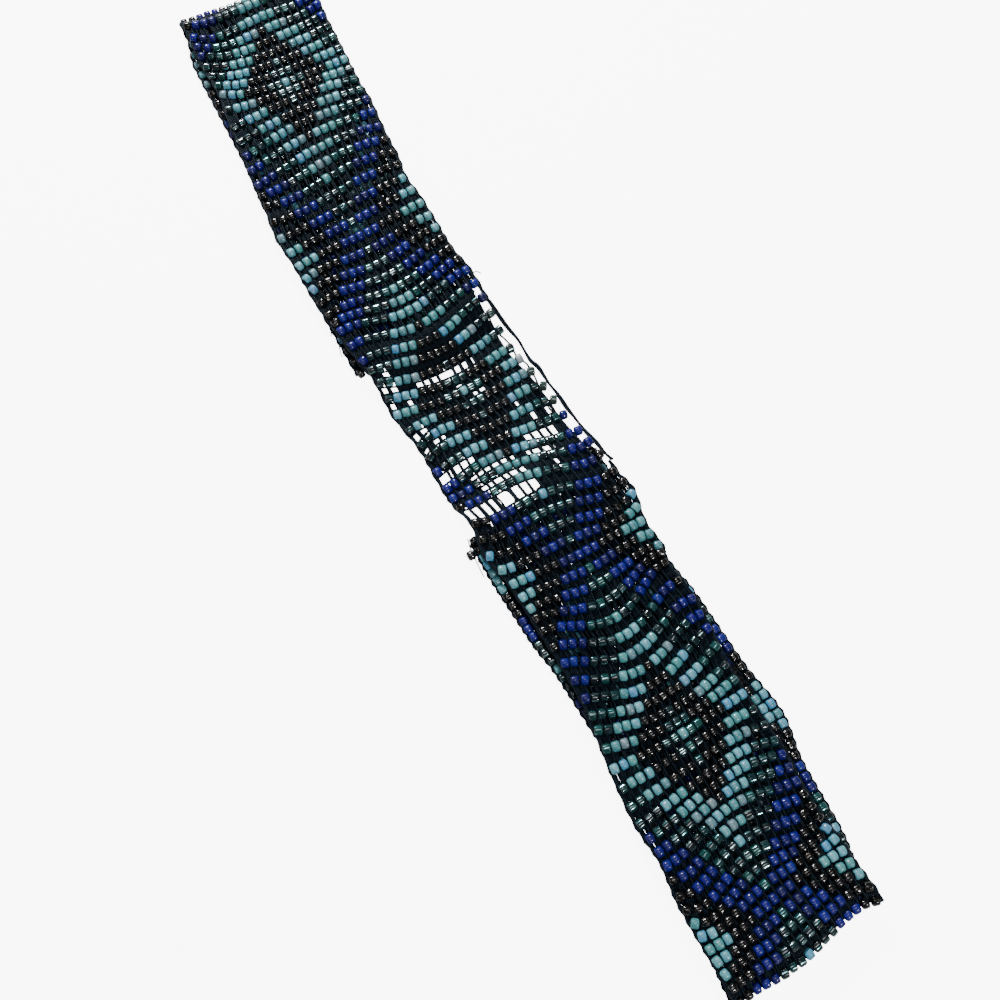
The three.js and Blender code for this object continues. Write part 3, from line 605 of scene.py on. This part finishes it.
# Painted shade: lighter on each ply's crest and darker in its grooves, in a dark teal-navy tint.
painted_ply_shade = add_node(tree, "ShaderNodeMapRange", {"Value": ply.outputs["Value"], "From Min": -1.0})
yarn = add_node(tree, "ShaderNodeMix", {"Factor": painted_ply_shade.outputs["Result"], 6: to_linear("#07131b"),
                                        7: to_linear("#0f202c")}, data_type="RGBA")
tree.links.new(yarn.outputs[2], surface.inputs["Base Color"])
tree.links.new(ridge.outputs["Normal"], surface.inputs["Normal"])
surface.inputs["Roughness"].default_value = 0.55
surface.inputs["Specular IOR Level"].default_value = 0.15

# Along the frayed stretch of the far edge the thread ends inside the last bead.
FRAYED_FROM = 20.5
FRAYED_TO = 31.5
FRAYED_END = 8.2
weft_row = np.arange(FIRST_ROW, LAST_ROW + 1)[:, None]
weft_frayed = (weft_row > FRAYED_FROM) & (weft_row < FRAYED_TO)
weft_far_end = np.where(weft_frayed, FRAYED_END, WEFT_END)
weft_share = np.linspace(0, 1, WEFT_STOPS)[None, :]
weft_column = WEFT_END * weft_share - weft_far_end * (1 - weft_share)
weft_paths, weft_outward = on_band(weft_row, weft_column)
weft_radius = np.where(np.abs(weft_column) > KNOB_START, WEFT_RADIUS * KNOB_SHARE, WEFT_RADIUS)
weft = lay_threads("weft_threads", weft_paths, weft_outward, weft_radius, THREAD_SIDES)


# Warp threads
# Eighteen threads along the whole band, one between each pair of bead columns and one outside each edge.
# Where rows have spread apart, a thread is pushed to the nearer end of the opening in its way, and has
# untwisted thick.
WARP_RADIUS = 0.44
WARP_EDGE_LANE = 8.3
WARP_SPARE = 0.07
WARP_SWAY = 0.1
THICK_RADIUS = 0.62
THICK_FROM = 21.5
THICK_TO = 32.5
WARP_STOPS = 3
# Openings in the single layer: the row before the opening and the columns that it spans
OPENINGS = (
    (5, 7.6, 8.3), (9, 7.6, 8.3), (21, 6.6, 7.4), (22, -3.4, -3.05), (22, -2.4, -1.75), (22, -1.4, -0.6),
    (22, -0.4, 1.5), (22, 1.7, 2.35), (22, 2.7, 3.35), (22, 3.55, 4.3), (22, 6.6, 7.4), (22, 7.6, 8.3),
    (23, -0.4, 0.35), (23, 5.65, 6.1), (23, 7.6, 8.3), (24, -2.3, -1.7), (24, -1.3, -0.75), (25, 6.5, 7.35),
    (25, 7.6, 8.3), (26, -4.3, -3.9), (26, 5.2, 5.8), (26, 6.1, 6.9), (26, 7.7, 8.3), (27, -7.2, -6.6),
    (27, -5.35, -4.75), (28, -6.15, -5.6), (28, -5.35, -4.65), (28, -4.35, -3.65), (28, -3.4, -2.65),
    (28, 3.7, 4.3), (28, 4.6, 5.35), (28, 5.6, 6.4), (28, 6.65, 7.0), (28, 7.2, 8.3), (29, -4.15, -3.65),
    (29, -3.05, -2.4), (29, -2.2, -1.85), (29, -0.3, 0.05), (29, 0.65, 1.1), (29, 1.65, 2.3),
    (29, 2.7, 3.35), (29, 3.6, 4.25), (29, 4.45, 5.1), (30, -3.9, -3.5), (30, -0.2, 0.25), (30, 0.55, 1.25),
    (30, 1.6, 2.25), (30, 2.4, 3.25), (30, 3.55, 4.1), (30, 4.25, 4.85), (31, -0.3, 0.6), (31, 0.8, 1.6),
    (31, 1.8, 2.65), (31, 2.95, 4.2), (31, 4.35, 4.6), (31, 4.8, 5.5), (31, 5.65, 6.5), (31, 6.7, 7.55),
    (31, 7.7, 8.3),
)


def beside_openings(row, column, spare):
    """The columns, each moved out of any opening in its gap to the nearer end plus the spare."""
    gap = np.floor(row + 1e-6)
    clear = np.array(column, float)
    for opening_row, start, stop in OPENINGS:
        within = (gap == opening_row) & (row > gap + 1e-6)
        within &= (column > start - spare) & (column < stop + spare)
        nearer_start = column - start < stop - column
        clear = np.where(within, np.where(nearer_start, start - spare, stop + spare), clear)
    return clear


warp_column = np.arange(COLUMNS + 1)[:, None] - COLUMNS / 2
warp_row = np.arange(FIRST_ROW * WARP_STOPS, LAST_ROW * WARP_STOPS + 1)[None, :] / WARP_STOPS
warp_row, warp_column = np.broadcast_arrays(warp_row, warp_column)
warp_lane = beside_openings(warp_row, warp_column, WARP_SPARE) * (WARP_EDGE_LANE / (COLUMNS / 2))
warp_paths, warp_outward = on_band(warp_row, warp_lane)
sway = random.uniform(-WARP_SWAY, WARP_SWAY, warp_paths.shape)
warp_radius = np.where((warp_row > THICK_FROM) & (warp_row < THICK_TO), THICK_RADIUS, WARP_RADIUS)
warp = lay_threads("warp_threads", warp_paths[1:] + sway[1:], warp_outward[1:], warp_radius[1:],
                   THREAD_SIDES)
before_fray = warp_row[0] <= FRAYED_FROM
after_fray = warp_row[0] >= FRAYED_TO
edge_before = lay_threads("warp_far_edge_upper", warp_paths[:1, before_fray], warp_outward[:1, before_fray],
                          WARP_RADIUS, THREAD_SIDES)
edge_after = lay_threads("warp_far_edge_lower", warp_paths[:1, after_fray], warp_outward[:1, after_fray],
                         WARP_RADIUS, THREAD_SIDES)


# Rim threads
# At each opening a second pass of the weft lies along each of its two rows, on the side of the opening, so
# the opening has straight sides.
RIM_RADIUS = 0.42
RIM_STOPS = 6
RIM_OVERLAP = 0.12
RIM_CLEARANCE = 0.1
opening_gap, opening_start, opening_stop = np.array(OPENINGS).T[:, :, None]
rim_share = np.linspace(0, 1, RIM_STOPS)[None, :]
rim_column = opening_start - RIM_OVERLAP + (opening_stop - opening_start + 2 * RIM_OVERLAP) * rim_share
spread = on_band(opening_gap + 1, rim_column)[0] - on_band(opening_gap, rim_column)[0]
clear_of_row = (BEAD_RADIUS + RIM_CLEARANCE) / np.linalg.norm(spread, axis=-1)
rim_row = np.concatenate((opening_gap + clear_of_row, opening_gap + 1 - clear_of_row))
rim_paths, rim_outward = on_band(rim_row, np.concatenate((rim_column, rim_column)))
rims = lay_threads("rim_threads", rim_paths, rim_outward, RIM_RADIUS, THREAD_SIDES)


# Packed threads
# Dark threads lie side by side under the rows and make the dark ground between them. They are close together
# in the single layer, along the edges and in the tucked-under stretches. In the top layer they are painted
# shade: a dark fill over the shaded beads of the under layer, which leaves a chink here and there.
PACKED_RADIUS = 0.38
PACKED_SIDES = 4
PACKED_SHARES = np.array((-0.02, 0.5, 1.02))
PACKED_SPARE = 0.04
PACKED_SWAY = 0.03
PACKED_DEPTH = (0.1, 0.6)
EDGE_LANE = 7.4
# Stretches by name: the first and last row gap, the first and last lane, the pitch of the lanes, and the
# share of the threads that is kept where they leave chinks
PACKED_STRETCHES = {
    "packed_threads_middle": (19, 31, -7.3, 8.5, 0.165, 1.0),
    # The two top-layer stretches are painted shade over the shaded beads of the under layer.
    "painted_shade_threads_upper": (-7, 18, -8.5, 8.6, 0.2, 0.5),
    "painted_shade_threads_lower": (32, 63, -8.5, 8.6, 0.2, 0.7),
    "packed_threads_upper": (-41, -8, -8.3, 8.3, 0.2, 1.0),
    "packed_threads_lower": (64, 111, -8.3, 8.3, 0.2, 1.0),
}
packed = []
for name, (first_gap, last_gap, first_lane, last_lane, pitch, kept) in PACKED_STRETCHES.items():
    packed_lane = np.arange(first_lane, last_lane, pitch)
    gap, lane = np.meshgrid(np.arange(first_gap, last_gap + 1), packed_lane, indexing="ij")
    gap = gap.ravel()
    lane = lane.ravel()
    free = (random.uniform(0, 1, len(gap)) < kept) | (np.abs(lane) > EDGE_LANE)
    for opening_row, start, stop in OPENINGS:
        free &= ~((gap == opening_row) & (lane > start - PACKED_SPARE) & (lane < stop + PACKED_SPARE))
    packed_row = gap[free][:, None] + PACKED_SHARES[None, :]
    packed_column = lane[free][:, None] + random.uniform(-PACKED_SWAY, PACKED_SWAY, packed_row.shape)
    packed_paths, packed_outward = on_band(packed_row, packed_column)
    packed_paths = packed_paths - packed_outward * random.uniform(*PACKED_DEPTH, (len(packed_row), 1, 1))
    packed.append(lay_threads(name, packed_paths, packed_outward, PACKED_RADIUS, PACKED_SIDES))


# Selvedge threads
# Two threads bound along each edge. They go out round the knob of each row and in again between rows.
SELVEDGE_RADIUS = 0.38
SELVEDGE_STOPS = 4
SELVEDGE_LANES = (8.44, 8.56)
SCALLOP_DEPTH = 0.08
TWIRL_HEIGHT = 0.2
selvedge_row = np.arange(FIRST_ROW * SELVEDGE_STOPS, LAST_ROW * SELVEDGE_STOPS + 1) / SELVEDGE_STOPS
scallop = SCALLOP_DEPTH * np.cos(2 * np.pi * selvedge_row)
near_lanes = np.stack([lane + scallop for lane in SELVEDGE_LANES])
near_paths, near_outward = on_band(selvedge_row[None, :], near_lanes)
twirl = np.stack((np.sin(np.pi * selvedge_row), -np.sin(np.pi * selvedge_row)))[..., None] * TWIRL_HEIGHT
selvedge = [lay_threads("selvedge_near", near_paths + near_outward * twirl, near_outward, SELVEDGE_RADIUS,
                        THREAD_SIDES)]
far_paths, far_outward = on_band(selvedge_row[None, :], -near_lanes)
far_paths = far_paths + far_outward * twirl
upper_part = selvedge_row <= FRAYED_FROM
lower_part = selvedge_row >= FRAYED_TO
selvedge.append(lay_threads("selvedge_far_upper", far_paths[:, upper_part], far_outward[:, upper_part],
                            SELVEDGE_RADIUS, THREAD_SIDES))
selvedge.append(lay_threads("selvedge_far_lower", far_paths[:, lower_part], far_outward[:, lower_part],
                            SELVEDGE_RADIUS, THREAD_SIDES))


# Loose threads
# Along the frayed stretch the far edge thread has pulled away as a doubled strand, with a thin one inside
# it, and short cut ends stick out where the band was finished off.
LOOSE_STRAND = np.array((
    (0, -41.4, 23.2, 5.6), (1, -30.6, 24.2, 3.6), (2, -21.7, 25.9, 1.8), (3, -14.3, 25.8, 1.2),
    (4, -9.1, 27.2, 1.0), (5, -2.3, 27.4, 0.9), (6, 3.7, 28.1, 0.9), (7, 9.6, 28.3, 0.9),
    (8, 15.5, 28.9, 1.2), (9, 21.4, 29.2, 2.2), (10, 29.1, 30.1, 4.4), (11, 33.7, 30.4, 5.5),
    (12, 37.5, 31.4, 5.9),
))
INNER_STRAND = np.array((
    (0, -36.6, 20.7, 4.6), (1, -34.4, 19.9, 4.0), (2, -30.3, 19.8, 3.3), (3, -25.4, 21.3, 2.6),
    (4, -21.4, 22.0, 2.2), (5, -17.3, 21.9, 2.0), (6, -12.1, 23.8, 1.8), (7, -6.9, 23.7, 1.8),
    (8, 1.2, 22.7, 1.9), (9, 7.6, 22.2, 1.9), (10, 13.1, 22.9, 2.1), (11, 17.8, 22.8, 2.6),
    (12, 22.9, 21.9, 3.4),
))
TAILS = np.array((
    ((0, -52.9, 21.4, 5.5), (1, -54.6, 22.7, 5.6), (2, -55.2, 25.2, 4.6), (3, -54.1, 26.7, 3.4)),
    ((0, -57.9, -33.6, 5.0), (1, -59.1, -34.6, 4.4), (2, -59.5, -35.4, 3.4), (3, -58.5, -36.0, 2.4)),
    ((0, -53.9, -34.1, 4.6), (1, -52.5, -35.4, 3.8), (2, -50.7, -35.9, 2.8), (3, -49.0, -36.3, 1.8)),
    ((0, 38.1, -29.1, 3.4), (1, 42.1, -30.0, 2.4), (2, 47.1, -30.2, 1.4), (3, 52.7, -30.5, 0.6)),
))
LOOSE_STOPS = 60
LOOSE_RADIUS = 0.52
INNER_SHARE = 0.75
TAIL_RADIUS = 0.22


def draw_strand(table, aside, raised):
    """Points along a strand through a table of numbered places, moved aside and up by a slow wave."""
    at = np.linspace(0, table[-1, 0], LOOSE_STOPS)
    path = np.stack([follow(table, axis, at) for axis in (1, 2, 3)], -1)
    wave = np.sin(at * 2.1)
    return path + np.stack((0 * wave, aside * (0.6 + 0.4 * wave), raised * wave), -1)


loose_paths = np.stack((
    draw_strand(LOOSE_STRAND, 0.38, 0.2),
    draw_strand(LOOSE_STRAND, -0.38, -0.1),
    draw_strand(INNER_STRAND, 0.1, 0.1),
))
tail_paths = np.stack([draw_strand(tail, 0.05, 0.0) for tail in TAILS])
straight_up = np.array((0.0, 0.0, 1.0))
loose_radius = np.array((LOOSE_RADIUS, LOOSE_RADIUS, LOOSE_RADIUS * INNER_SHARE))[:, None]
loose = lay_threads("loose_strands", loose_paths, np.broadcast_to(straight_up, loose_paths.shape),
                    loose_radius, THREAD_SIDES)
tails = lay_threads("thread_tails", tail_paths, np.broadcast_to(straight_up, tail_paths.shape),
                    TAIL_RADIUS, THREAD_SIDES)

for piece in (weft, warp, edge_before, edge_after, rims, *packed, *selvedge, loose, tails):
    piece.data.materials.append(polyester)
    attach(piece, "root")
    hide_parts("woven_band")


# Table
# A plain white table top that the belt lies on.
TABLE_SIZE = 3.0
TABLE_GLOW = 8.0
half_table = TABLE_SIZE / 2
table_mesh = bpy.data.meshes.new("table_top")
table_mesh.from_pydata(
    [(-half_table, -half_table, 0), (half_table, -half_table, 0), (half_table, half_table, 0),
     (-half_table, half_table, 0)], [], [(0, 1, 2, 3)])
table_top = bpy.data.objects.new("table_top", table_mesh)
bpy.context.scene.collection.objects.link(table_top)
white = bpy.data.materials.new("white_matt_laminate")
white.use_nodes = True
tree = white.node_tree
surface = tree.nodes["Principled BSDF"]
surface.inputs["Base Color"].default_value = to_linear("#f4f4f4")
surface.inputs["Roughness"].default_value = 0.9
surface.inputs["Emission Color"].default_value = to_linear("#ffffff")
path = add_node(tree, "ShaderNodeLightPath")
glow = add_node(tree, "ShaderNodeMath", {0: path.outputs["Is Camera Ray"], 1: TABLE_GLOW},
                operation="MULTIPLY")
tree.links.new(glow.outputs["Value"], surface.inputs["Emission Strength"])
table_mesh.materials.append(white)


# Light
# Three small lamps give each bead its glints, and a wide soft one overhead fills the shadows.
ROOM_LIGHT = 0.12
LAMPS = {
    "lamp_upper": ((-0.62, 0.10, 0.42), 0.08, 6.8),
    "lamp_lower": ((0.66, 0.12, 0.38), 0.045, 1.9),
    "lamp_side": ((0.10, -0.65, 0.60), 0.10, 0.4),
    "lamp_over": ((0.10, 0.04, 0.90), 0.30, 1.5),
}
for name, (place, size, power) in LAMPS.items():
    lamp_data = bpy.data.lights.new(name, "AREA")
    lamp_data.size = size
    lamp_data.energy = power
    lamp = bpy.data.objects.new(name, lamp_data)
    lamp_turn = Vector(place).to_track_quat("Z", "Y").to_matrix().to_4x4()
    lamp.matrix_world = Matrix.Translation(place) @ lamp_turn
    bpy.context.scene.collection.objects.link(lamp)
sky = bpy.data.worlds.new("room")
sky.use_nodes = True
sky.node_tree.nodes["Background"].inputs["Color"].default_value = to_linear("#ffffff")
sky.node_tree.nodes["Background"].inputs["Strength"].default_value = ROOM_LIGHT
bpy.context.scene.world = sky
